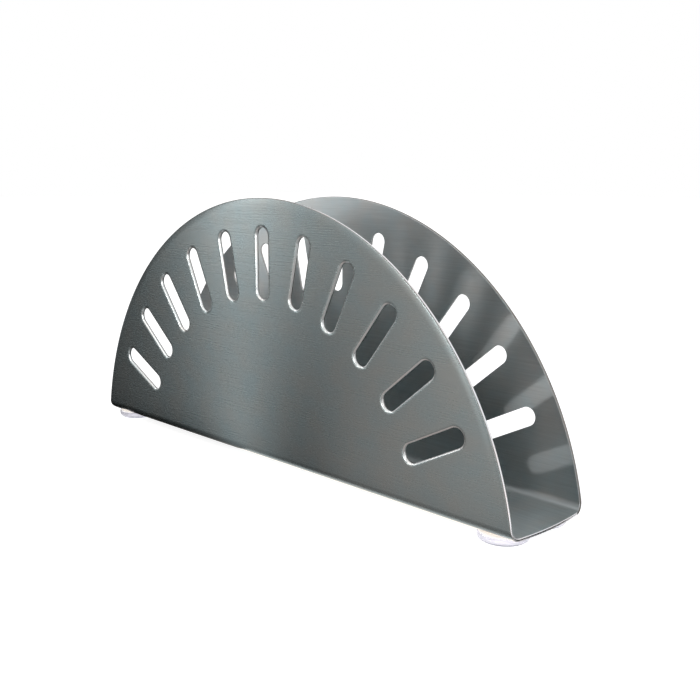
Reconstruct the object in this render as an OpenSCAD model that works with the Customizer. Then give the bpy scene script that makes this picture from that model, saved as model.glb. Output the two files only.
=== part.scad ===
// Napkin holder: one round disc of brushed stainless sheet, slotted in two fans
// and folded up along two lines into a U, standing on four stick-on bumper feet.
//
// X runs along the panels, Y from the front panel to the back one, Z up.
// The origin is on the table, under the middle of the base. All in millimetres.

/* [Steel disc] */
// Radius of the flat disc before it is folded
disc_radius = 78; // [74:0.5:90]
// Thickness of the sheet
sheet = 0.8; // [0.6:0.05:1.2]

/* [Fold] */
// Depth over the outer faces of the two panels
depth = 26.2; // [24:0.1:32]
// Radius on the inside of both bends
bend_inside = 2; // [1.6:0.1:5]
// Line that keeps its length in a bend, as a share of the sheet from its inside
neutral_share = 0.44; // [0.33:0.01:0.5]

/* [Slots] */
// Slots in each panel, the middle one upright
slot_count = 11; // [3:2:11]
// Angle from one slot to the next
slot_step = 12.7; // [9:0.05:13]
// Length of a slot over its round ends
slot_length = 17.8; // [10:0.1:20]
// Width of a slot
slot_width = 4.4; // [3:0.1:6]
// Steel left between the middle slot's outer end and the rim of the disc
slot_margin = 7.1; // [4:0.1:9]
// The slots fan out from a point this far below the centre of the disc's rim
slot_drop = 0.8; // [0:0.1:3]
// Width of the soft rim that the punch draws down round a slot, outside only
roll_width = 0.8; // [0.4:0.05:1]
// Depth of that rim at the slot's wall
roll_depth = 0.25; // [0.1:0.05:0.4]

/* [Feet] */
// Diameter of a bumper foot
foot_diameter = 11.2; // [8:0.1:11.6]
// Height of the clear bumper without its film
foot_height = 1.8; // [1.4:0.1:4]
// Radius of the soft edge where the bumper meets the table
foot_edge = 1; // [0.4:0.1:1.2]
// Thickness of the adhesive film on top of the bumper
film = 0.2; // [0.1:0.05:0.4]
// Film that stays back from the bumper's edge, all round
film_inset = 0.3; // [0:0.05:1]
// Gap from the plane of a panel's face to the bumper's edge
foot_face_gap = 0.7; // [0.2:0.1:1]
// Steel that shows past the bumper at the end of the base
foot_end_gap = 1.5; // [0.5:0.1:6]

/* [Hidden] */
$fn = 96;

// Fold. A distance written as "from the mid-line" is measured in the flat disc,
// at right angles to the two fold lines, from the line half-way between them.
base_z = foot_height + film;
bend_outside = bend_inside + sheet;
flat_half = depth / 2 - bend_outside;
neutral_radius = bend_inside + neutral_share * sheet;
panel_start = flat_half + neutral_radius * PI / 2;
panel_foot_z = base_z + bend_outside;

// Slots: middle of a slot, from the point that they fan out from
slot_middle = disc_radius + slot_drop - slot_margin - slot_length / 2;
slot_straight = slot_length - slot_width;
// An arc that is level with the face at its rim and roll_depth down at the wall
roll_radius = (pow(roll_width, 2) + pow(roll_depth, 2)) / (2 * roll_depth);

// Feet
foot_y = depth / 2 - foot_face_gap - foot_diameter / 2;
foot_x = half_chord(foot_y) - foot_end_gap - foot_diameter / 2;

// Cuts run this far past the face they open
past = 1;
// Angle between two stations along the cut end of a bend
bend_step = 15;
// The cut ends of a bend stay this hair inside those of the flats beside it
hair = 0.01;

steel = [0.52, 0.55, 0.55];
clear_plastic = [0.90, 0.90, 0.94, 0.75];
adhesive = [0.84, 0.82, 0.80, 0.9];

// Half the width of the disc at a distance from its mid-line
function half_chord(from_mid) = sqrt(pow(disc_radius, 2) - pow(from_mid, 2));

// Where a station round the bend lies in the flat disc
function in_flat(angle) = flat_half + neutral_radius * angle * PI / 180;

// Half of a slot's section: how the tool's edge and the drawn-down rim cut it.
// Across from the slot's middle, and up from the sheet's inner face.
module slot_section() {
    translate([0, -past])
        square([slot_width / 2, sheet + 2 * past]);
    difference() {
        translate([slot_width / 2, sheet - roll_depth])
            square([roll_width, roll_depth + past]);
        translate([slot_width / 2 + roll_width, sheet - roll_radius])
            circle(r = roll_radius);
    }
}

// One slot along X, centred: two half turns of the section and a straight run
module slot_cut() {
    for (end = [0, 1])
        mirror([end, 0, 0])
            translate([slot_straight / 2, 0, 0])
                rotate([0, 0, -90])
                    rotate_extrude(angle = 180)
                        slot_section();
    rotate([90, 0, 90])
        linear_extrude(slot_straight, center = true)
            for (half = [0, 1])
                mirror([half, 0])
                    slot_section();
}

// Panel lying flat, outer face up, with the end of its bend along the X axis.
// The slots fan out from a point a little below the disc's centre.
module panel() {
    difference() {
        linear_extrude(sheet)
            intersection() {
                translate([0, -panel_start])
                    circle(r = disc_radius);
                translate([-disc_radius, 0])
                    square([2 * disc_radius, disc_radius]);
            }
        translate([0, -panel_start - slot_drop, 0])
            for (i = [0 : slot_count - 1])
                rotate([0, 0, (i - (slot_count - 1) / 2) * slot_step])
                    translate([0, slot_middle, 0])
                        rotate([0, 0, 90])
                            slot_cut();
    }
}

// Base: the strip of the disc between the two folds, its ends still round
module base() {
    linear_extrude(sheet)
        intersection() {
            circle(r = disc_radius);
            square([2 * disc_radius, 2 * flat_half], center = true);
        }
}

// Space inside the disc's rim as a bend carries it round: turned about Z from
// the base at 0 degrees to the panel at 90, and as wide as the disc is there
module bend_reach() {
    inner = bend_inside / 2;
    outer = bend_outside + past;
    angles = [for (a = -bend_step; a <= 90 + bend_step; a = a + bend_step) a];
    last = len(angles) - 1;
    points = [for (a = angles)
        let (w = half_chord(in_flat(a)) - hair)
        for (corner = [[inner, -w], [outer, -w], [outer, w], [inner, w]])
            [corner[0] * cos(a), corner[0] * sin(a), corner[1]]];
    sides = [for (i = [0 : last - 1]) for (k = [0 : 3])
        let (a = 4 * i + k, b = 4 * i + (k + 1) % 4)
        for (half = [[a, b, b + 4], [a, b + 4, a + 4]]) half];
    ends = [[3, 2, 1, 0], [for (k = [0 : 3]) 4 * last + k]];
    polyhedron(points, concat(sides, ends), convexity = 4);
}

// Quarter turn of sheet from the base up to the front panel
module bend() {
    translate([0, -flat_half, panel_foot_z])
        rotate([0, 90, 180])
            intersection() {
                rotate_extrude(angle = 90)
                    translate([bend_inside, -disc_radius])
                        square([sheet, 2 * disc_radius]);
                bend_reach();
            }
}

module folded_sheet() {
    color(steel) {
        translate([0, 0, base_z])
            base();
        for (side = [0, 1])
            mirror([0, side, 0]) {
                bend();
                translate([0, sheet - depth / 2, panel_foot_z])
                    rotate([90, 0, 0])
                        panel();
            }
    }
}

// Clear bumper: a flat disc with a soft edge round the face that stands
module bumper() {
    color(clear_plastic)
        rotate_extrude() {
            translate([0, foot_edge])
                square([foot_diameter / 2, foot_height - foot_edge]);
            square([foot_diameter / 2 - foot_edge, foot_height]);
            translate([foot_diameter / 2 - foot_edge, foot_edge])
                intersection() {
                    circle(r = foot_edge);
                    translate([0, -foot_edge])
                        square(foot_edge);
                }
        }
}

// Film that holds the bumper to the underside of the base
module bumper_film() {
    color(adhesive)
        translate([0, 0, foot_height])
            cylinder(r = foot_diameter / 2 - film_inset, h = film);
}

// Place for a foot: right is 1 or -1 along X, back is 1 or -1 along Y
module at_foot(right, back) {
    translate([right * foot_x, back * foot_y, 0])
        children();
}

module foot_front_left() { at_foot(-1, -1) bumper(); }
module foot_front_right() { at_foot(1, -1) bumper(); }
module foot_back_left() { at_foot(-1, 1) bumper(); }
module foot_back_right() { at_foot(1, 1) bumper(); }
module film_front_left() { at_foot(-1, -1) bumper_film(); }
module film_front_right() { at_foot(1, -1) bumper_film(); }
module film_back_left() { at_foot(-1, 1) bumper_film(); }
module film_back_right() { at_foot(1, 1) bumper_film(); }

folded_sheet();
foot_front_left();
foot_front_right();
foot_back_left();
foot_back_right();
film_front_left();
film_front_right();
film_back_left();
film_back_right();
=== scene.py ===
# %% [markdown]
# # A folded steel napkin holder
# The real object is one round disc of stainless sheet. A press punches slots through it, a
# belt brushes it, and a brake folds it up along two lines. The CAD model holds those sizes.
# This lesson gives it its looks: the brushed grain, the drawn-down rims of the slots, the
# clear feet, and the light that makes metal read as metal. It starts by loading the CAD model
# as a fixed frame, and measures its box.

# %% Load the frame
import math
from functools import partial

import bpy
import numpy as np
from mathutils import Matrix, Vector
from mathutils.geometry import delaunay_2d_cdt


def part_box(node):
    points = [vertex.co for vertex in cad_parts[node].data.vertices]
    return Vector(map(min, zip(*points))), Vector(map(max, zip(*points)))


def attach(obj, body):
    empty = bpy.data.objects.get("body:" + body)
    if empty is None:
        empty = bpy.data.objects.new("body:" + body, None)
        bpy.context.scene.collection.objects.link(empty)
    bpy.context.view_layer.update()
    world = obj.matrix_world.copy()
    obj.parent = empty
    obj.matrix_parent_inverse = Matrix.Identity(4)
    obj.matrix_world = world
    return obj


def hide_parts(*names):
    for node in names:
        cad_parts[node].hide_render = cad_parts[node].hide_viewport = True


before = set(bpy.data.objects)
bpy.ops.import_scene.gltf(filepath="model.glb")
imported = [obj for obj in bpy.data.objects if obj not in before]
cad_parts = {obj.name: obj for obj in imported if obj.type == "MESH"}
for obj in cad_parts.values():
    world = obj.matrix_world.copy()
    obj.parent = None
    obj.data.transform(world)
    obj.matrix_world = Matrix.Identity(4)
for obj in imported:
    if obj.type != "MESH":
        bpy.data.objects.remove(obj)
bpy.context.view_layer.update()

MM = 0.001
STEEL_LOW, STEEL_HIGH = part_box("folded_sheet")
DEPTH = STEEL_HIGH.y - STEEL_LOW.y
BASE_Z = STEEL_LOW.z

# %% [markdown]
# ## The disc before it is folded
# A bend doesn't stretch the sheet everywhere: a line a little inside its middle keeps its
# length. So the flat disc can be drawn first, with its slots, and every point then carried
# round the fold. Modelling the folded shape directly would need the rim as a row of odd
# curves. Drawn flat it is one true circle, as on the real blank. The slots of a panel fan out
# from one point, a little past the disc's centre. Only the sheet, the bend and the slots need
# sizes. The rest comes from the CAD model's own box.

# %% Sizes of the blank
SHEET = 0.8 * MM
BEND_INSIDE = 2.0 * MM
NEUTRAL_SHARE = 0.44
SLOT_COUNT = 11
SLOT_STEP = math.radians(12.7)
SLOT_LENGTH = 17.8 * MM
SLOT_WIDTH = 4.4 * MM
SLOT_MARGIN = 7.1 * MM
SLOT_DROP = 0.8 * MM
ROLL_WIDTH = 0.8 * MM
ROLL_DEPTH = 0.25 * MM

FLAT_HALF = DEPTH / 2 - BEND_INSIDE - SHEET
NEUTRAL = BEND_INSIDE + NEUTRAL_SHARE * SHEET
PANEL_START = FLAT_HALF + NEUTRAL * math.pi / 2
PANEL_FOOT_Z = BASE_Z + BEND_INSIDE + SHEET
DISC_RADIUS = STEEL_HIGH.z - PANEL_FOOT_Z + PANEL_START
SLOT_MIDDLE = DISC_RADIUS + SLOT_DROP - SLOT_MARGIN - SLOT_LENGTH / 2
print("disc radius", round(DISC_RADIUS / MM, 3), "mm, floor half", round(FLAT_HALF / MM, 3))

# %% [markdown]
# ## The law of the fold
# In a bend the inner face gets shorter, the outer one longer, and the neutral line stays as
# it was. So a point's distance from the disc's mid-line says how far it is turned, and its
# height in the sheet says on which radius it lies. An armature or a deform modifier only
# comes near to this. Written as a function, it holds to the last digit, and it can turn the
# directions that the shading needs as well.

# %% Fold a point and a direction


def fold(along, across, up):
    """Where a point of the flat disc is in the folded sheet, and how far it is turned.
    along runs with the folds, across is the distance from the mid-line, and up is
    measured through the sheet from its inner face."""
    side = math.copysign(1, across)
    reach = abs(across)
    if reach <= FLAT_HALF:
        turn = 0.0
        y = reach
        z = PANEL_FOOT_Z - BEND_INSIDE - up
    elif reach < PANEL_START:
        turn = (reach - FLAT_HALF) / NEUTRAL
        y = FLAT_HALF + (BEND_INSIDE + up) * math.sin(turn)
        z = PANEL_FOOT_Z - (BEND_INSIDE + up) * math.cos(turn)
    else:
        turn = math.pi / 2
        y = FLAT_HALF + BEND_INSIDE + up
        z = PANEL_FOOT_Z + reach - PANEL_START
    return Vector((along, side * y, z)), side * turn


def folded_way(turn, along, across, up):
    """A direction in the flat disc, as the fold has turned it."""
    c = math.cos(turn)
    s = math.sin(turn)
    return Vector((along, across * c + up * s, across * s - up * c))


print("the rim folds up to", round(fold(0.0, DISC_RADIUS, 0.0)[0].z / MM, 2), "mm")

# %% [markdown]
# ## Edges seen in section
# A cut edge is never a bare corner. Round each slot the punch drags the sheet down, so that the
# outer face curves in before the wall starts. The wall is burnished where the punch cut and
# torn where the steel gave way. The blank's rim has a much shallower roll, and was then rubbed
# round on both sides, with a fine dark line left on its outer corner. A bevel modifier would
# round them all alike. Here each edge is drawn as a short section instead: how far into the
# steel, and how high in the sheet.

# %% Edge sections
EDGE_SOFT = 0.20 * MM
BURR_SOFT = 0.05 * MM
RIM_ROLL_WIDTH = 1.8 * MM
RIM_ROLL_DEPTH = 0.07 * MM
RIM_SKIN = 0.08 * MM
RIM_LINE = 0.19 * MM
ROLL_SKIN = 0.09 * MM
BURNISHED = 0.50 * MM
RIM_ROLL_STEPS = 6
SLOT_ROLL_STEPS = 9
EDGE_STEPS = 5
BURR_STEPS = 3
OUTSIDE, INSIDE, RUBBED, DRAWN, SHEARED = range(5)


def arc(centre, radius, start, end, steps):
    """Points on an arc, from one angle to another, in degrees."""
    angles = np.radians(np.linspace(start, end, steps + 1))
    return [(centre[0] + radius * math.cos(a), centre[1] + radius * math.sin(a)) for a in angles]


def rolled(inset, width, depth, steps):
    """The roll beside a cut: level with the outer face where it begins, depth below it where
    it ends, inset from the wall. Also gives the angle at which it ends."""
    radius = (width**2 + depth**2) / (2 * depth)
    lean = 90 + math.degrees(math.asin(width / radius))
    return arc((inset + width, SHEET - radius), radius, 90, lean, steps), lean


def rim_section():
    """The disc's own rim: a hair of roll from the blanking die, then rubbed round."""
    roll, lean = rolled(EDGE_SOFT, RIM_ROLL_WIDTH, RIM_ROLL_DEPTH, RIM_ROLL_STEPS)
    shoulder = (EDGE_SOFT, SHEET - RIM_ROLL_DEPTH - EDGE_SOFT)
    top = arc(shoulder, EDGE_SOFT, lean, 180, EDGE_STEPS)
    return roll + top[1:] + arc((EDGE_SOFT, EDGE_SOFT), EDGE_SOFT, 180, 270, EDGE_STEPS)


def slot_section():
    """A punched slot: rolled rim on the outer face, sheared wall, fine burr inside."""
    roll, _ = rolled(0.0, ROLL_WIDTH, ROLL_DEPTH, SLOT_ROLL_STEPS)
    wall = [(0.0, SHEET - BURNISHED), (0.0, SHEET - BURNISHED - BURR_SOFT)]
    return roll + wall + arc((BURR_SOFT, BURR_SOFT), BURR_SOFT, 180, 270, BURR_STEPS)


print("sections:", len(rim_section()), "points at the rim,", len(slot_section()), "at a slot")

# %% [markdown]
# ## Finishes down an edge
# From the outer face to the inner one, the edge of a real sheet is skin, roll, clean cut and
# tear. A mask in one material could paint them, but its borders would blur close up. So bands
# of height say which finish each step of a section gets. The shading takes the section's own
# slope, and a few points are enough for a smooth rim.

# %% Slopes and finishes down a section


def section_slopes(section):
    """Which way the surface faces at each point: (into the steel, up)."""
    run = np.diff(np.array(section), axis=0)
    facing = np.stack([run[:, 1], -run[:, 0]], 1)
    facing /= np.linalg.norm(facing, axis=1)[:, None]
    slopes = np.vstack([[0, 1], facing[:-1] + facing[1:], [0, -1]])
    return slopes / np.linalg.norm(slopes, axis=1)[:, None]


def section_finishes(section, bands):
    """The finish of each step down a section. bands lists (lower end, finish) from the top."""
    middles = [(a[1] + b[1]) / 2 for a, b in zip(section, section[1:])]
    return [next(finish for low, finish in bands if m > low) for m in middles]


BELOW_ALL = -1.0
RIM_BANDS = [(SHEET - RIM_SKIN, OUTSIDE), (SHEET - RIM_LINE, SHEARED),
             (BURR_SOFT, RUBBED), (BELOW_ALL, INSIDE)]
SLOT_BANDS = [(SHEET - ROLL_SKIN, OUTSIDE), (SHEET - BURNISHED, DRAWN),
              (BURR_SOFT, SHEARED), (BELOW_ALL, INSIDE)]
print("bands of finish:", len(RIM_BANDS), "at the rim,", len(SLOT_BANDS), "at a slot")

# %% [markdown]
# ## The rim in the flat disc
# The rim is a closed row of points, and every point knows which way the steel lies. A circle
# with even steps would be shorter to write, but the fold lines would cut it between points.
# So it has a point exactly where each strip of a bend begins, and the bends come out clean.

# %% Outline of the rim
BEND_STRIPS = 14
FLOOR_STRIPS = 4
PANEL_STEPS = 150


def rim_outline(inset):
    """The disc's edge, inset a little: rows of (along, across, steel along, steel across)."""
    radius = DISC_RADIUS - inset
    floor = list(np.linspace(0, FLAT_HALF, FLOOR_STRIPS + 1))
    bend = list(np.linspace(FLAT_HALF, PANEL_START, BEND_STRIPS + 1)[1:])
    turns = np.linspace(math.asin(PANEL_START / radius), math.pi / 2, PANEL_STEPS + 1)[1:]
    quarter = [(math.sqrt(radius**2 - v**2), v) for v in floor + bend]
    quarter += [(radius * math.cos(a), radius * math.sin(a)) for a in turns]
    half = quarter + [(-u, v) for u, v in reversed(quarter[:-1])]
    points = half + [(u, -v) for u, v in reversed(half[1:-1])]
    return [(u, v, -u / radius, -v / radius) for u, v in points]


print(len(rim_outline(0)), "points round the rim")

# %% [markdown]
# ## The slots in the flat disc
# A punch with round ends leaves two half turns and two straight sides. Both fans are mirror
# images of each other, so one function draws every slot. It can draw a slot wider too: each
# point moves straight into the steel, which is how the section of the edge gets its width.

# %% Outlines of the slots
END_STEPS = 22
SIDE_STEPS = 6


def slot_outline(side, index, inset):
    """One slot's wall moved out into the steel by inset."""
    lean = (index - (SLOT_COUNT - 1) / 2) * SLOT_STEP
    ray = np.array([math.sin(lean), side * math.cos(lean)])
    over = np.array([math.cos(lean), -side * math.sin(lean)])
    half = (SLOT_LENGTH - SLOT_WIDTH) / 2
    rows = []
    for end in (1, -1):
        for a in np.linspace(-math.pi / 2, math.pi / 2, END_STEPS + 1):
            rows.append((end * half, end * math.cos(a), end * math.sin(a)))
        for t in np.linspace(half, -half, SIDE_STEPS + 1)[1:-1]:
            rows.append((end * t, 0.0, float(end)))
    outline = []
    for reach, c, s in rows:
        steel = c * ray + s * over
        at = (SLOT_MIDDLE + reach) * ray + (SLOT_WIDTH / 2 + inset) * steel
        at[1] -= side * SLOT_DROP
        outline.append((*at, *steel))
    return outline


SLOTS = [(side, index) for side in (-1, 1) for index in range(SLOT_COUNT)]
print(len(SLOTS), "slots with", len(slot_outline(1, 0, 0)), "points round each")

# %% [markdown]
# ## The edges of one closed mesh
# The real holder is one piece of metal, and each of its edges catches the light on its own.
# An extruded outline has square edges, and a boolean for every slot leaves long thin faces.
# So the sections are stepped along the outlines first, in a ring of quads round the rim and
# one round each slot. On the back panel the rim gets the dark torn finish in place of the
# rubbed one: a painted reflection of the dark room behind it.

# %% Points and faces of the edges


def edge_points():
    """Every point as (along, across, up), the way the steel faces there, and the rings: for
    each edge its rows of point numbers and the finish of each step."""
    flat, ways, rings = [], [], []
    edges = [(rim_section(), RIM_BANDS, rim_outline)]
    edges += [(slot_section(), SLOT_BANDS, partial(slot_outline, s, i)) for s, i in SLOTS]
    for section, bands, outline in edges:
        levels = []
        for (inset, up), (into, rise) in zip(section, section_slopes(section)):
            rows = outline(inset)
            levels.append(list(range(len(flat), len(flat) + len(rows))))
            flat += [(u, v, up) for u, v, _, _ in rows]
            ways += [(into * a, into * b, rise) for _, _, a, b in rows]
        rings.append((levels, section_finishes(section, bands)))
    return flat, ways, rings


def edge_faces(flat, rings):
    """Quads between the rows of each ring, and a finish for each quad."""
    faces = []
    finish = []
    for levels, looks in rings:
        for upper, lower, look in zip(levels, levels[1:], looks):
            upper_next = upper[1:] + upper[:1]
            lower_next = lower[1:] + lower[:1]
            faces += zip(upper, upper_next, lower_next, lower)
            # Painted reflection: the rubbed rim of the back panel gets the dark torn finish
            painted_dark_rim = [look == RUBBED and flat[i][1] > FLAT_HALF for i in upper]
            finish += [SHEARED if dull else look for dull in painted_dark_rim]
    return faces, finish


flat, ways, rings = edge_points()
faces, face_finish = edge_faces(flat, rings)
print(len(rings), "rings with", len(flat), "points and", len(faces), "faces")

# %% [markdown]
# ## The two sides of the disc
# Both sides are flat and full of slots. A single polygon can't have holes in it. So they are
# filled by a constrained triangulation, which takes the outlines and the fold lines as edges
# that must be kept. The triangles inside a slot are left out, and the rings of quads then
# join the two sides into a closed solid.

# %% Fill the two sides
MERGE_WITHIN = 1e-7


def fold_lines(rim_loop):
    """Lines across the disc from rim to rim, one at each strip of both bends."""
    marks = [FLOOR_STRIPS + k for k in range(BEND_STRIPS + 1)]
    half_turn = 2 * (FLOOR_STRIPS + BEND_STRIPS + PANEL_STEPS)
    back_bend = [(rim_loop[m], rim_loop[half_turn - m]) for m in marks]
    front_bend = [(rim_loop[-m], rim_loop[half_turn + m]) for m in marks]
    return back_bend + front_bend


def face_triangles(flat, loops):
    """Triangles between the rim and the slots. loops holds point numbers, rim first."""
    used = [i for loop in loops for i in loop]
    number = {v: k for k, v in enumerate(used)}
    edges = [(number[a], number[b]) for loop in loops for a, b in zip(loop, loop[1:] + loop[:1])]
    edges += [(number[a], number[b]) for a, b in fold_lines(loops[0])]
    points = [Vector((flat[i][0] / MM, flat[i][1] / MM)) for i in used]
    _, _, triangles, origins, _, _ = delaunay_2d_cdt(points, edges, [], 0, MERGE_WITHIN)
    back = [used[ids[0]] for ids in origins]
    owner = {i: k for k, loop in enumerate(loops) for i in loop}
    kept = []
    for triangle in triangles:
        corners = [back[i] for i in triangle]
        touched = {owner[i] for i in corners}
        in_a_slot = len(touched) == 1 and touched != {0}
        if not in_a_slot:
            kept.append(corners)
    return kept


for which, level in ((OUTSIDE, 0), (INSIDE, -1)):
    triangles = face_triangles(flat, [levels[level] for levels, _ in rings])
    faces += triangles
    face_finish += [which] * len(triangles)
print("faces with the two sides filled:", len(faces))

# %% [markdown]
# ## The fold
# A brake bends the disc up along two lines. A Simple Deform modifier would stretch the steel
# there. Here every point is carried round by the law of the flat disc instead, so the slots
# and the rim keep their true lengths. The mesh is built with its own Z axis along the folds,
# because brushed metal takes the direction of its shine from that axis.

# %% Fold the sheet
stand = Matrix.Rotation(math.pi / 2, 4, "Y")
lay = stand.inverted()
points = []
normals = []
for (u, v, up), (a, b, rise) in zip(flat, ways):
    at, turn = fold(u, v, up)
    points.append(lay @ at)
    normals.append(lay.to_3x3() @ folded_way(turn, a, b, rise))
mesh = bpy.data.meshes.new("steel_sheet")
mesh.from_pydata(points, [], faces)
sheet = bpy.data.objects.new("steel_sheet", mesh)
bpy.context.scene.collection.objects.link(sheet)
sheet.matrix_world = stand
print("folded sheet:", len(points), "points")

# %% [markdown]
# ## Shading that follows the metal
# Sheet steel is dead flat beside its bends, and each bend is smooth. Smoothing by angle
# guesses where one ends, and gets the shallow rolls wrong. So each point keeps the normal
# that its section and the fold give it. The sheet then takes the CAD model's place.

# %% Shade the sheet and put it in its place


def face_outwards(mesh, normals):
    """Turns every face to the side its points' normals say, then keeps those normals."""
    for p in mesh.polygons:
        if sum((normals[i] for i in p.vertices), Vector()).dot(p.normal) < 0:
            p.flip()
    mesh.shade_smooth()
    mesh.normals_split_custom_set_from_vertices([n.normalized() for n in normals])


face_outwards(sheet.data, normals)
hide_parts("folded_sheet")
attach(sheet, "root")
print("steel sheet:", len(sheet.data.vertices), "points,", len(sheet.data.polygons), "faces")

# %% [markdown]
# ## Clear bumpers
# The holder stands on four self-adhesive bumpers, soft clear plastic cast in a low drum with a
# rounded lower edge. A cylinder with a bevel has the outline but a dead flat sole. A profile
# turned round its axis is as short to write, and can have any section. First comes the
# turning itself.

# %% A turned solid
TURN_STEPS = 72


def turned(name, profile, centre):
    """A closed solid of revolution from (radius, height) points, centre to centre."""
    rows = [[(0.0, 0.0, profile[0][1])]]
    for radius, height in profile[1:-1]:
        angles = [math.tau * k / TURN_STEPS for k in range(TURN_STEPS)]
        rows.append([(radius * math.cos(a), radius * math.sin(a), height) for a in angles])
    rows.append([(0.0, 0.0, profile[-1][1])])
    starts = np.cumsum([0] + [len(row) for row in rows])
    faces = []
    for k in range(TURN_STEPS):
        n = (k + 1) % TURN_STEPS
        faces.append((starts[0], starts[1] + n, starts[1] + k))
        for a, b in zip(starts[1:-3], starts[2:-2]):
            faces.append((a + k, a + n, b + n, b + k))
        faces.append((starts[-3] + k, starts[-3] + n, starts[-2]))
    mesh = bpy.data.meshes.new(name)
    mesh.from_pydata([p for row in rows for p in row], [], [tuple(map(int, f)) for f in faces])
    mesh.shade_smooth()
    made = bpy.data.objects.new(name, mesh)
    bpy.context.scene.collection.objects.link(made)
    made.location = centre
    return made


print("turned solids get", TURN_STEPS, "steps")

# %% [markdown]
# ## One profile for four feet
# A real bumper has a soft shoulder, a slightly hollow sole that grips the table, and a thin
# upper rim that catches the light next to the steel. All four are the same casting, so they
# share this profile, at the size of the CAD model's own feet. They could be one object shown
# four times. But each foot has its own name and place there, and keeps them.

# %% Build the bumpers
BUMPER_EDGE = 1.0 * MM
BUMPER_LIP = 0.15 * MM
SOLE_HOLLOW = 0.12 * MM
SOLE_STOPS = (0.0, 0.25, 0.5, 0.7)
TOP_STOP = 0.5
SHOULDER_STEPS = 9
LIP_STEPS = 4


def bumper_profile(radius, height):
    """From the middle of the sole, round the edge, to the middle of the top."""
    sole = [(radius * t, SOLE_HOLLOW * (1 - t**2)) for t in SOLE_STOPS]
    shoulder = arc((radius - BUMPER_EDGE, BUMPER_EDGE), BUMPER_EDGE, -90, 0, SHOULDER_STEPS)
    lip = arc((radius - BUMPER_LIP, height - BUMPER_LIP), BUMPER_LIP, 0, 90, LIP_STEPS)
    return sole + shoulder + lip + [(radius * TOP_STOP, height), (0.0, height)]


CORNERS = ["front_left", "front_right", "back_left", "back_right"]
bumpers = []
for corner in CORNERS:
    low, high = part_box("foot_" + corner)
    profile = bumper_profile((high.x - low.x) / 2, high.z - low.z)
    centre = ((low.x + high.x) / 2, (low.y + high.y) / 2, low.z)
    bumper = turned("bumper_" + corner, profile, centre)
    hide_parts("foot_" + corner)
    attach(bumper, "root")
    bumpers.append(bumper)
print("bumpers:", [b.name for b in bumpers])

# %% [markdown]
# ## Materials as sums
# A finish is mostly arithmetic on a few noises. Wiring each Math node by hand hides the sum
# in a web of links. So one small class wraps a socket and takes Python's own signs, and one
# method adds every other kind of node. Colours and vectors go through Mix and Vector Math,
# because a Math node would turn them grey.

# %% Sockets that can be added up
# A Mix node has one set of sockets for each kind of value. These are its colour ones.
MIX_SHARE, MIX_LOW, MIX_HIGH, MIX_RESULT = 0, 6, 7, 2


class Wire:
    """A socket of a material, used in Python sums as if it were a number."""

    def __init__(self, tree, socket=None):
        self.tree, self.socket = tree, socket

    def node(self, kind, settings, inputs, out=0):
        """Adds a node: its settings first, then the values or links of its sockets."""
        made = self.tree.nodes.new("ShaderNode" + kind)
        for name, value in settings.items():
            if name == "stops":
                ramp = made.color_ramp
                while len(ramp.elements) < len(value):
                    ramp.elements.new(1.0)
                for element, (at, shade) in zip(ramp.elements, value):
                    element.position, element.color = at, (*shade, 1.0)
            else:
                setattr(made, name, value)
        for name, value in inputs.items():
            if isinstance(value, Wire):
                self.tree.links.new(value.socket, made.inputs[name])
            else:
                made.inputs[name].default_value = value
        return Wire(self.tree, made.outputs[out]) if made.outputs else None

    def sum(self, operation, *values):
        """A Math node on numbers and Wires."""
        return self.node("Math", {"operation": operation}, dict(enumerate(values)))

    def __add__(self, other):
        return self.sum("ADD", self, other)

    def __radd__(self, other):
        return self.sum("ADD", other, self)

    def __sub__(self, other):
        return self.sum("SUBTRACT", self, other)

    def __rsub__(self, other):
        return self.sum("SUBTRACT", other, self)

    def __mul__(self, other):
        return self.sum("MULTIPLY", self, other)

    def __rmul__(self, other):
        return self.sum("MULTIPLY", other, self)

    def fade(self, start, width):
        """0 up to start, then rising to 1 over width. A negative width falls instead."""
        return self.node("Clamp", {}, {0: (self - start) * (1 / width)})

    def tint(self, low, high):
        """A colour between two, by this number. Each is three numbers or another colour."""
        low, high = (c if isinstance(c, Wire) else (*c, 1.0) for c in (low, high))
        inputs = {MIX_SHARE: self, MIX_LOW: low, MIX_HIGH: high}
        return self.node("Mix", {"data_type": "RGBA"}, inputs, MIX_RESULT)

    def vector(self, operation, *values):
        """A Vector Math node on this colour or vector and others."""
        return self.node("VectorMath", {"operation": operation}, dict(enumerate((self, *values))))

    def all_outputs(self):
        """Every output of the node that this socket is on."""
        return {s.name: Wire(self.tree, s) for s in self.socket.node.outputs}


print("a Wire also has", ", ".join(name for name in vars(Wire) if not name.startswith("_")))

# %% [markdown]
# ## What every finish needs
# Each finish starts as an empty node tree and ends in one shader on the surface. Its pattern
# has to stay on the steel or the plastic wherever the piece goes. World coordinates would
# slide, and an image would need unwrapping, so patterns are laid in the object's own axes.

# %% Start, end and place of a material
BLACK = (0.0, 0.0, 0.0)
WHITE = (1.0, 1.0, 1.0)


def new_material(name):
    """An empty material, and a Wire to build it with."""
    material = bpy.data.materials.new(name)
    material.use_nodes = True
    material.node_tree.nodes.clear()
    return material, Wire(material.node_tree)


def close(start, shader):
    """Joins the shader to the material's surface."""
    start.node("OutputMaterial", {}, {"Surface": shader})


def own_place(start):
    """The place of a point in its object's own axes."""
    return start.node("TexCoord", {}, {}).all_outputs()["Object"]


def coordinates(start):
    """The same place as three numbers."""
    axes = start.node("SeparateXYZ", {}, {0: own_place(start)}).all_outputs()
    return axes["X"], axes["Y"], axes["Z"]


print("materials so far:", len(bpy.data.materials))

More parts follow.
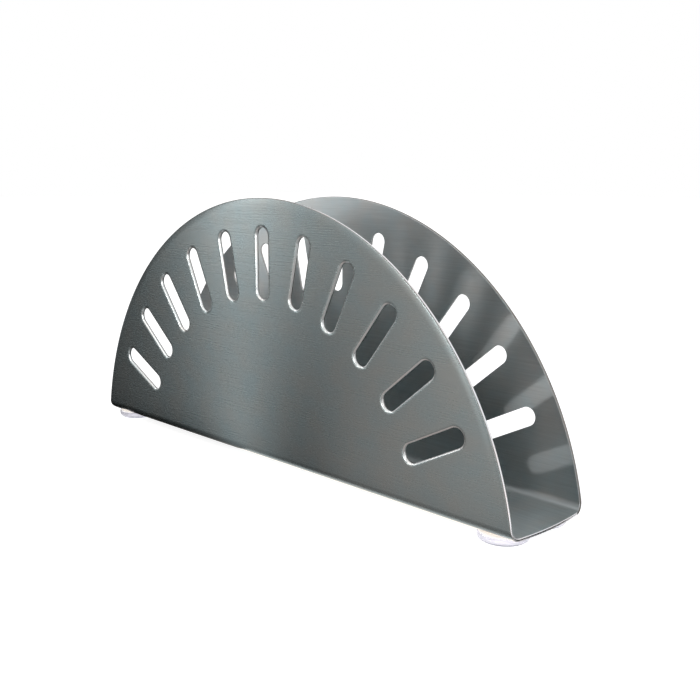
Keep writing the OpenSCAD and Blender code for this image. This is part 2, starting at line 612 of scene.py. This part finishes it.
# %% [markdown]
# ## Grain of the sheet
# An abrasive belt ran along the sheet before it was folded. It leaves hair-fine grooves in one
# direction, which smear every reflection across the grain. So a highlight on the panel is a
# tall soft band, not a spot. An anisotropic shader does that smear. Cycles takes its direction
# from the object's own Z axis, and the sheet was built with that axis along the folds. No
# tangent map is needed. What the eye still sees of single grooves are streaks: noise drawn out
# along the grain in three widths. A wider soft noise moves the tone between cool and warm, as
# on any rolled sheet. Both are drawn in the object's own axes, so they stay on the steel.

# %% Streaks and tone
HAIR = (10 * MM, 0.27 * MM)
LINE = (26 * MM, 0.48 * MM)
BAND = (160 * MM, 4 * MM)
GROOVE_HEIGHT = 0.004 * MM
STREAK_ROUGHNESS = 0.6
COOL_TONE = (0.965, 1.000, 1.015)
WARM_TONE = (1.050, 0.995, 0.970)
TONE_PER_METRE = 170.0
TONE_CONTRAST = 2.6
MIDDLE = 0.5


def streaks(start, size, wide, seed, detail=2.0):
    """Noise drawn out along the grain, from 0 to 1. size is (length, width) in metres."""
    length, width = size
    scale = (1 / (width * wide), 1 / (width * wide), 1 / length)
    moved = {"Vector": own_place(start), "Location": (seed, seed, seed), "Scale": scale}
    noise = {"Vector": start.node("Mapping", {}, moved), "Scale": 1.0,
             "Detail": detail, "Roughness": STREAK_ROUGHNESS}
    return start.node("TexNoise", {}, noise)


def tone(start):
    """A slow drift between a cool and a warm cast."""
    noise = {"Vector": own_place(start), "Scale": TONE_PER_METRE, "Detail": 2.0}
    width = 1 / TONE_CONTRAST
    cloud = start.node("TexNoise", {}, noise).fade(MIDDLE - MIDDLE / TONE_CONTRAST, width)
    return cloud.tint(COOL_TONE, WARM_TONE)


print("grooves from", HAIR[1] / MM, "to", BAND[1] / MM, "mm wide")

# %% [markdown]
# ## Painted light and shade on the bends
# The fine pale line along the foot of each panel is a painted highlight: the lower half of the
# outer bend gets a pale warm colour, for the pale table and feet that it mirrors. The lower
# inside of each bend gets a darker colour, a painted shade that tones down the highlight
# there. Both could be materials of their own, but they have no sharp border. So a finish gets
# the other colour there, faded in by height and by how far out from the middle of the floor
# the steel lies.

# %% Rub of the bending tools
# Top of each painted strip, the width of its upper border, and its colour: a painted
# highlight outside, a painted shade inside
OUTER_BEND_HIGHLIGHT = (3.1 * MM, 0.4 * MM, (1.00, 0.94, 0.85))
INNER_BEND_SHADE = (4.3 * MM, 0.9 * MM, (0.30, 0.32, 0.325))


def painted_bend(start, colour, bend_paint):
    """The colour, with the painted light or shade of the argument on the lower part of a bend.
    Local X points down.
    """
    top, border, paint_colour = bend_paint
    down, across, _ = coordinates(start)
    low = down.fade(-top, border)
    aside = start.sum("ABSOLUTE", across).fade(FLAT_HALF, border)
    return (low * aside).tint(colour, paint_colour)


for where, bend_paint in (("outside", OUTER_BEND_HIGHLIGHT), ("inside", INNER_BEND_SHADE)):
    print(where, "rubbed below", round(bend_paint[0] / MM, 2), "mm")

# %% [markdown]
# ## Colours of the steel
# Bare steel has no paint. Its colour is the share of the room's light that it gives back,
# and each finish gives back another share. A single grey would look like plastic, so every
# finish has two, and its streaks move between them.

# %% Colours of the steel, darkest and palest
STEEL = ((0.226, 0.262, 0.265), (0.296, 0.338, 0.341))
SATIN = ((0.425, 0.460, 0.467), (0.510, 0.550, 0.558))
BRIGHT = ((0.80, 0.80, 0.82), (0.92, 0.92, 0.94))
BURNISH = ((0.60, 0.62, 0.62), (0.72, 0.74, 0.74))
TORN = ((0.15, 0.145, 0.14), (0.32, 0.31, 0.30))
for name, shades in (("outside", STEEL), ("inside", SATIN), ("torn", TORN)):
    print(name, "gives back", shades[0][1], "to", shades[1][1], "of the green light")

# %% [markdown]
# ## Five finishes on one sheet
# The outside has the last, finest belt. The inside kept the mill's satin, paler and coarser.
# The rubbed rim is nearly a mirror. At a slot, the punch first pulls the sheet down and
# burnishes it, then the steel tears, and the torn part is dull and dark. All five are one
# recipe with other values: how rough, how smeared, how strong the grain. The edge bands of
# the mesh say which face gets which.

# %% Steel finishes
# Share of each width of streak in the colour, and in the height of the grooves
HAIR_SHADE, LINE_SHADE, BAND_SHADE = 0.50, 0.35, 0.15
HAIR_CUT, LINE_CUT = 0.6, 0.4
SHADE_SWING = 2.2
GLOSS_SWING = -0.12


def steel(name, shades, rough, smear, grain, groove, wide=1.0, glance=WHITE, bend_paint=None):
    """One finish. rough is its mean roughness and smear its stretch across the grain. grain
    is how strongly the streaks show in colour and gloss, and groove how deep they look.
    glance is the colour at a flat angle."""
    material, start = new_material(name)
    hair = streaks(start, HAIR, wide, seed=3.1)
    line = streaks(start, LINE, wide, seed=11.7)
    band = streaks(start, BAND, 1.0, seed=23.4, detail=1.0)
    grooves = hair * HAIR_SHADE + line * LINE_SHADE + band * BAND_SHADE
    shade = (grooves - MIDDLE) * (SHADE_SWING * grain) + MIDDLE
    colour = shade.tint(*shades).vector("MULTIPLY", tone(start))
    cut = hair * HAIR_CUT + line * LINE_CUT
    bump = {"Height": cut, "Strength": groove, "Distance": GROOVE_HEIGHT}
    finish = {
        # The lower part of a bend gets its painted highlight or painted shade here
        "Base Color": painted_bend(start, colour, bend_paint) if bend_paint else colour,
        "Metallic": 1.0,
        "Roughness": (grooves - MIDDLE) * (GLOSS_SWING * grain) + rough,
        "Anisotropic": smear,
        "Anisotropic Rotation": 0.0,
        "Specular Tint": (*glance, 1.0),
        "Normal": start.node("Bump", {}, bump),
    }
    close(start, start.node("BsdfPrincipled", {}, finish))
    return material


finishes = {
    OUTSIDE: steel("steel_brushed_outside", STEEL, rough=0.27, smear=0.88, grain=0.50, groove=0.30,
                   bend_paint=OUTER_BEND_HIGHLIGHT),
    INSIDE: steel("steel_satin_inside", SATIN, rough=0.32, smear=0.85, grain=1.50, groove=0.40,
                  wide=1.2, bend_paint=INNER_BEND_SHADE),
    RUBBED: steel("steel_rubbed_rim", BRIGHT, rough=0.26, smear=0.0, grain=0.3, groove=0.10),
    DRAWN: steel("steel_drawn_rim", BURNISH, rough=0.22, smear=0.0, grain=0.2, groove=0.10),
    SHEARED: steel("steel_torn_wall", TORN, rough=0.45, smear=0.0, grain=0.6, groove=0.50,
                   glance=TORN[0]),
}
for which in sorted(finishes):
    sheet.data.materials.append(finishes[which])
sheet.data.polygons.foreach_set("material_index", face_finish)
print("steel finishes:", [m.name for m in sheet.data.materials])

# %% [markdown]
# ## Clear plastic
# The bumpers are soft polyurethane: clear in the hand, milky white on the steel. Light goes in
# at the side, bounces between the adhesive and the table, and comes out pale. That path is too
# long to trace, so part of the light passes, part scatters, and a faint glow stands for the
# rest. The thin blue-grey line round a real one is shade: there the drum bends the view down
# into its own shadow. Here that shade is painted, as a darker tint on the sole's outer ring
# that also takes away the glow there, faded in by distance from the axis and by height.

# %% Bumper plastic
MILKY = ((0.86, 0.85, 0.92), (0.93, 0.92, 0.98))
MILKY_GLOW = (0.92, 0.91, 1.00)
PAINTED_RING_SHADE = (0.06, 0.08, 0.14)
RING_FROM = 4.9 * MM
RING_TOP = 0.55 * MM
RING_FADE = 0.25 * MM
CLOUD_PER_METRE = 900.0
DIMPLE_HEIGHT = 0.05 * MM
DIMPLE_STRENGTH = 0.15
GLOSSIEST, GLOSS_DRIFT = 0.08, 0.08
PLASTIC_IOR = 1.49
PASSED_LIGHT = 0.70
PLASTIC_GLOW = 0.11


def clear_plastic():
    """Pale and half clear, with a ring of painted shade low down."""
    material, start = new_material("clear_soft_plastic")
    place = own_place(start)
    cloud = start.node("TexNoise", {}, {"Vector": place, "Scale": CLOUD_PER_METRE, "Detail": 2.0})
    flattened = place.vector("MULTIPLY", (1.0, 1.0, 0.0))
    from_axis = flattened.vector("LENGTH").all_outputs()["Value"]
    height = coordinates(start)[2]
    # Painted shade: a darker, unlit ring round the outer edge of the sole
    ring = from_axis.fade(RING_FROM, RING_FADE) * height.fade(RING_TOP, -RING_FADE)
    dimple = {"Height": cloud, "Strength": DIMPLE_STRENGTH, "Distance": DIMPLE_HEIGHT}
    finish = {
        "Base Color": ring.tint(cloud.tint(*MILKY), PAINTED_RING_SHADE),
        "Roughness": cloud * GLOSS_DRIFT + GLOSSIEST,
        "IOR": PLASTIC_IOR,
        "Transmission Weight": PASSED_LIGHT,
        "Emission Color": ring.tint(MILKY_GLOW, BLACK),
        "Emission Strength": PLASTIC_GLOW,
        "Normal": start.node("Bump", {}, dimple),
    }
    close(start, start.node("BsdfPrincipled", {}, finish))
    return material


plastic = clear_plastic()
for bumper in bumpers:
    bumper.data.materials.append(plastic)
print(plastic.name, "on", len(bumpers), "bumpers")

# %% [markdown]
# ## Adhesive film
# A film of foam adhesive holds each bumper. Only its edge and what shows through the plastic
# are seen, a warm white under the steel. The CAD model's flat discs have the right shape, so
# they stay, and get a flecked foam in place of their plain colour. Its glow is painted light:
# the film shines though it is no lamp, so that the bumpers look lit from inside.

# %% Film material
FOAM = ((0.70, 0.68, 0.68), (0.86, 0.84, 0.83))
FOAM_PAINTED_GLOW = (1.00, 0.98, 0.95)
FOAM_GLOW_STRENGTH = 0.38
FOAM_ROUGHNESS, FOAM_DRIFT = 0.55, 0.2
FLECKS_PER_METRE = 1600.0
FLECK_DETAIL = 3.0


def adhesive_foam():
    """Matt, warm white and finely flecked, with a painted glow."""
    material, start = new_material("adhesive_film")
    noise = {"Vector": own_place(start), "Scale": FLECKS_PER_METRE, "Detail": FLECK_DETAIL}
    fleck = start.node("TexNoise", {}, noise)
    finish = {
        "Base Color": fleck.tint(*FOAM),
        "Roughness": fleck * FOAM_DRIFT + FOAM_ROUGHNESS,
        # Painted light: the film glows so that the clear bumpers look lit from inside
        "Emission Color": (*FOAM_PAINTED_GLOW, 1.0),
        "Emission Strength": FOAM_GLOW_STRENGTH,
    }
    close(start, start.node("BsdfPrincipled", {}, finish))
    return material


foam = adhesive_foam()
for corner in CORNERS:
    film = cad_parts["film_" + corner]
    film.data.materials.clear()
    film.data.materials.append(foam)
print(foam.name, "on", len(CORNERS), "films")

# %% [markdown]
# ## The camera
# The view is from the front right, a little above, and close: the near end of the holder looks
# far larger than the far end. The numbers are a real position and lens, so that the
# perspective comes out right as well as the outline.

# %% Camera
VIEW_TURN = math.radians(45.64)
VIEW_RISE = math.radians(10.62)
VIEW_ROLL = math.radians(0.14)
VIEW_REACH = 209.3 * MM
VIEW_AIM = Vector((31.2 * MM, -DEPTH / 2, BASE_Z + 33.3 * MM))
SENSOR = 36.0
LENS = 47.47
NEAREST, FARTHEST = 0.01, 20.0

ahead = Vector((-math.sin(VIEW_TURN) * math.cos(VIEW_RISE),
                math.cos(VIEW_TURN) * math.cos(VIEW_RISE),
                -math.sin(VIEW_RISE)))
level = Vector((math.cos(VIEW_TURN), math.sin(VIEW_TURN), 0.0))
upward = level.cross(ahead)
side = level * math.cos(VIEW_ROLL) + upward * math.sin(VIEW_ROLL)
top = upward * math.cos(VIEW_ROLL) - level * math.sin(VIEW_ROLL)
facing = Matrix((side, top, -ahead)).transposed().to_4x4()
camera = bpy.data.objects.new("camera", bpy.data.cameras.new("camera"))
bpy.context.scene.collection.objects.link(camera)
camera.matrix_world = Matrix.Translation(VIEW_AIM - ahead * VIEW_REACH) @ facing
camera.data.sensor_width = SENSOR
camera.data.lens = LENS
camera.data.clip_start = NEAREST
camera.data.clip_end = FARTHEST
bpy.context.scene.camera = camera
print("camera at", [round(v / MM, 1) for v in camera.matrix_world.translation], "mm")

# %% [markdown]
# ## Floor and room
# A white background made with strong lamps would bleach the object. Here the light on it stays
# at a plain level, and only the floor's and the room's own materials turn white for the rays
# that need it: those from the eye, from a reflection and through something clear. The floor
# adds its glow to a plain grey that still takes the holder's shadow.

# %% Floor
FLOOR_HALF = 3.0
PALE = (0.50, 0.50, 0.50)
FLOOR_GLOW = (0.86, 0.86, 0.86)


def seen(start):
    """1 for a ray from the camera, from a reflection or through something clear."""
    rays = start.node("LightPath", {}, {}).all_outputs()
    mirrored = start.sum("MAXIMUM", rays["Is Camera Ray"], rays["Is Glossy Ray"])
    return start.sum("MAXIMUM", mirrored, rays["Is Transmission Ray"])


def floor_material():
    """Grey that takes a shadow, lifted to white where it is seen."""
    material, start = new_material("pale_floor")
    plain = start.node("BsdfDiffuse", {}, {"Color": (*PALE, 1.0)})
    lift = seen(start).tint(BLACK, FLOOR_GLOW)
    glow = start.node("Emission", {}, {"Color": lift, "Strength": 1.0})
    close(start, start.node("AddShader", {}, {0: plain, 1: glow}))
    return material


def stage_mesh(name, points, faces, material):
    """Something that stands round the object and isn't part of it."""
    mesh = bpy.data.meshes.new(name)
    mesh.from_pydata(points, [], faces)
    mesh.materials.append(material)
    made = bpy.data.objects.new(name, mesh)
    bpy.context.scene.collection.objects.link(made)
    return made


floor_corners = [(-FLOOR_HALF, -FLOOR_HALF, 0.0), (FLOOR_HALF, -FLOOR_HALF, 0.0),
                 (FLOOR_HALF, FLOOR_HALF, 0.0), (-FLOOR_HALF, FLOOR_HALF, 0.0)]
floor = stage_mesh("floor", floor_corners, [(0, 1, 2, 3)], floor_material())
print("floor", 2 * FLOOR_HALF, "m wide")

# %% Room
ROOM_LEVEL = (0.7, 0.7, 0.7)
room = bpy.data.worlds.new("room")
bpy.context.scene.world = room
room.use_nodes = True
room.node_tree.nodes.clear()
walls = Wire(room.node_tree)
room_light = seen(walls).tint(ROOM_LEVEL, WHITE)
backdrop = walls.node("Background", {}, {"Color": room_light, "Strength": 1.0})
walls.node("OutputWorld", {}, {"Surface": backdrop})
print("room light", ROOM_LEVEL[0])

# %% [markdown]
# ## A grey card on the table
# Metal has no look of its own: it shows the room. In a room that is white all round, this steel
# would be white too. A product photographer lays grey and black cards just outside the picture
# and lets the steel mirror them. The card here does that. Its grey changes with the heading
# from the lens, which gives the panel its two soft upright bands. Past the headings that the
# flat panel mirrors it turns pale, and only the rolled rims of the slots pick that up.

# %% Shades of the grey card
HEADING_FROM, HEADING_SPAN = 10, 90
# Heading in degrees, grey level there, and how much warmer than plain grey it is
CARD_SHADES = [(10, 0.90, 0.0), (17, 0.50, 0.0), (24, 0.38, 0.0), (31, 0.38, 0.03),
               (38, 0.45, 0.08), (42.4, 0.45, 0.12), (45.6, 0.36, 0.10), (48, 0.18, 0.06),
               (49.5, 0.19, 0.03), (51.2, 0.46, -0.02), (52.6, 0.80, -0.02), (53.6, 0.66, -0.02),
               (55.1, 0.33, -0.02), (56.5, 0.19, 0.0), (58.5, 0.15, 0.02), (60.5, 0.07, 0.02),
               (63, 0.07, 0.0), (68, 0.70, 0.0), (90, 0.90, 0.0)]


def card_colours():
    """The ramp's stops: a place from 0 to 1, and the card's colour there."""
    stops = []
    for heading, shade, warm in CARD_SHADES:
        colour = (shade * (1 + warm), shade, shade * (1 - warm / 3))
        stops.append(((heading - HEADING_FROM) / HEADING_SPAN, colour))
    return stops


print("grey card with", len(card_colours()), "shades over", HEADING_SPAN, "degrees")

# %% [markdown]
# ## Cards that only reflections see
# A real card on the table would shade the feet and show beside them. Cycles can hide an
# object from one kind of ray at a time, so these cards are left to reflections alone. They
# neither dim the light nor show in the picture.

# %% Cards for reflections
CARD_HEIGHT = 1 * MM


def reflected_only(name, points, faces, material):
    """A card that reflections see, and nothing else."""
    card = stage_mesh(name, points, faces, material)
    card.visible_camera = False
    card.visible_diffuse = False
    card.visible_shadow = False
    card.visible_transmission = False
    return card


def laid_card(name, outline, material):
    """A card that lies on the table, a hair above it."""
    points = [(x, y, CARD_HEIGHT) for x, y in outline]
    return reflected_only(name, points, [tuple(range(len(outline)))], material)


print("cards lie", CARD_HEIGHT / MM, "mm above the floor")

# %% [markdown]
# ## Where the grey card lies
# The card gets darker close to the foot of the holder, most of all on the left: a painted
# shadow of the holder on the table, which the steel mirrors. Its near border stops short of the
# steel, and the white table in the gap draws the pale line under the bend.

# %% Grey card
CARD = [(-1.2, -1.2), (0.4, -1.2), (0.4, -0.0134),
        (-0.01, -0.0134), (-0.03, -0.0020), (-1.2, -0.0020)]
CARD_EYE = (0.1783, 0.1308)
CARD_NEAR = -0.0131
CARD_LEFT_DEEP, CARD_LEFT_SHADOW = 0.022, 0.8
CARD_FOOT_DEEP, CARD_FOOT_SHADOW = 0.013, 0.5
CARD_LEFT_FROM, CARD_LEFT_FADE = -0.010, -0.035
RADIAN = math.degrees(1.0)


def grey_card():
    """Shaded by the heading from the mirrored lens, with a painted shadow near the holder."""
    material, start = new_material("grey_card")
    x, y, _ = coordinates(start)
    heading = start.sum("ARCTAN2", CARD_EYE[0] - x, CARD_EYE[1] - y) * RADIAN
    along = (heading - HEADING_FROM) * (1 / HEADING_SPAN)
    shade = start.node("ValToRGB", {"stops": card_colours()}, {"Fac": along})
    # Painted shadow of the holder: the card darkens near its foot, most on the left
    leftward = x.fade(CARD_LEFT_FROM, CARD_LEFT_FADE)
    left = leftward * y.fade(CARD_NEAR - CARD_LEFT_DEEP, CARD_LEFT_DEEP)
    foot = y.fade(CARD_NEAR - CARD_FOOT_DEEP, CARD_FOOT_DEEP)
    keep = (1.0 - left * CARD_LEFT_SHADOW) * (1.0 - foot * CARD_FOOT_SHADOW)
    lit = start.node("VectorMath", {"operation": "SCALE"}, {0: shade, "Scale": keep})
    close(start, start.node("Emission", {}, {"Color": lit, "Strength": 1.0}))
    return material


card = laid_card("grey_card", CARD, grey_card())
print(card.name, "ends", round(-CARD[2][1] / MM, 1), "mm before the middle of the holder")

# %% [markdown]
# ## Dark cards and screens
# Two black cards on the table darken what the ends of the sheet mirror: the left one gives the
# panel its dark left border, the right one the dark line under the end of the floor. A low
# dark screen round the back and left is what the inside of the sheet mirrors, and a paler one
# closes its open end. A small one hangs close to the left foot, where only the inside of the
# back panel sees it, through the slots left of the middle. All are lit a little, because no
# real black card is quite black.

# %% Dark cards
DARK, NEAR_DARK, HALF_DARK = 0.04, 0.20, 0.35
LEFT_CARD = [(-1.2, -0.0019), (-0.079, -0.0019), (-0.079, 0.6), (-1.2, 0.6)]
RIGHT_CARD = [(0.079, -0.010), (0.088, -0.010), (0.095, 0.027), (0.113, 0.058),
              (0.140, 0.100), (0.140, 0.250), (0.079, 0.250)]
SCREEN = [(-0.6, -0.05), (-0.6, 0.9), (0.3, 0.9)]
PALE_SCREEN = [(-0.494, -0.340), (-0.6, -0.25)]
SCREEN_TOP = 0.36
NEAR_SCREEN = [(-0.109, -0.046), (-0.125, -0.012)]
NEAR_FOOT, NEAR_TOP = 0.04, 0.30


def plain_card(name, shade):
    """One even grey."""
    material, start = new_material(name)
    close(start, start.node("Emission", {}, {"Color": (shade, shade, shade, 1.0), "Strength": 1.0}))
    return material


def stand_screen(name, line, material, low=0.0, high=SCREEN_TOP):
    """An upright screen along a line on the table."""
    n = len(line)
    points = [(x, y, z) for z in (low, high) for x, y in line]
    walls = [(k, k + 1, n + k + 1, n + k) for k in range(n - 1)]
    return reflected_only(name, points, walls, material)


black_card = plain_card("black_card", DARK)
laid_card("left_card", LEFT_CARD, black_card)
laid_card("right_card", RIGHT_CARD, black_card)
stand_screen("dark_screen", SCREEN, black_card)
stand_screen("pale_screen", PALE_SCREEN, plain_card("half_card", HALF_DARK))
stand_screen("near_screen", NEAR_SCREEN, plain_card("near_card", NEAR_DARK), NEAR_FOOT, NEAR_TOP)
print("cards and screens, dark at", DARK)

# %% [markdown]
# ## Lamps
# Six soft lamps, all weak. The narrow one on the left puts the bright upright band on the
# panel, a warm one beside it lifts the middle, and a very small one catches the lower ends of
# the slots. A low one straight in front draws the white line down their left rims. The one at
# the front right lights the walls of the slots, and a broad one overhead gives the soft top
# light and the shadow under the floor. Each is aimed at the piece of the holder that should
# mirror it, so moving one moves its highlight alone.

# %% Lamps


def softbox(name, turn, rise, reach, size, glow, aim=(0, 0, 0.03), colour=WHITE):
    """A rectangular lamp. turn is from the front towards the left, glow its brightness."""
    data = bpy.data.lights.new(name, "AREA")
    data.shape = "RECTANGLE"
    data.size, data.size_y = size
    data.energy = glow * math.pi * data.size * data.size_y
    data.color = colour
    lamp = bpy.data.objects.new(name, data)
    bpy.context.scene.collection.objects.link(lamp)
    t = math.radians(turn)
    r = math.radians(rise)
    back = Vector((-math.sin(t) * math.cos(r), -math.cos(t) * math.cos(r), math.sin(r)))
    lamp.location = Vector(aim) + back * reach
    lamp.rotation_euler = (-back).to_track_quat("-Z", "Y").to_euler()
    return lamp


WARM_LAMP = (1.0, 0.91, 0.84)
lamps = [
    softbox("band_left", turn=52.6, rise=20, reach=0.9, size=(0.07, 0.6), glow=3.0,
            aim=(-0.01, -0.013, 0.0)),
    softbox("warm_left", turn=34, rise=16, reach=0.6, size=(0.14, 0.30), glow=0.9,
            aim=(0.06, -0.013, 0.0), colour=WARM_LAMP),
    softbox("rim_spark", turn=31, rise=9, reach=0.6, size=(0.02, 0.02), glow=120.0,
            aim=(0.05, -0.013, 0.015)),
    softbox("rim_line", turn=8, rise=5, reach=0.6, size=(0.16, 0.10), glow=7.0,
            aim=(0.0, -0.013, 0.0)),
    softbox("front_right", turn=-50, rise=25, reach=0.8, size=(0.25, 0.25), glow=4.0),
    softbox("above", turn=20, rise=70, reach=0.9, size=(0.8, 0.8), glow=0.6),
]
print("lamps:", [lamp.name for lamp in lamps])

# %% Finish
bpy.context.scene.view_settings.view_transform = "Standard"
